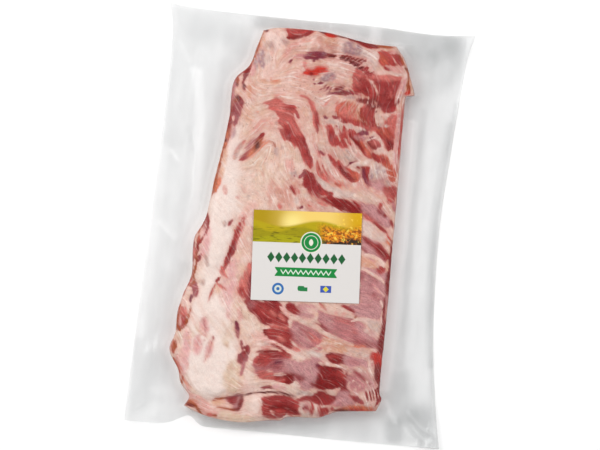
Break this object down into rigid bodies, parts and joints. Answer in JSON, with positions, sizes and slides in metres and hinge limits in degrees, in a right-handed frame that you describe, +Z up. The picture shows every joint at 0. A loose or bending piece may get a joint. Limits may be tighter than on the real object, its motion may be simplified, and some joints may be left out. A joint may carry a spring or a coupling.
{
  "type": "vacuum-packed raw rack of ribs",
  "caption": "Raw rack of pork ribs, vacuum-packed in a clear pouch with a wide flat margin, and a paper label stuck on top.",
  "frame": {"origin": "middle of the pack's underside, on the surface it lies on", "axes": "+X across the pouch to the side with the wide clear margin, +Y along it to the narrow end of the rack, +Z up from the table through the label"},
  "size_m": [0.302, 0.402, 0.0243],
  "materials": {
    "pouch": "raw rack seen through clear film",
    "film": "clear glossy vacuum film, greyish where two layers meet",
    "meat": "raw pork: cream fat, dusty red muscle and mauve silverskin, moist",
    "label": "semi-matt coated paper with printed fields of colour"
  },
  "bodies": {
    "root": {"pouch": "pouch", "label": "label"}
  },
  "joints": []
}
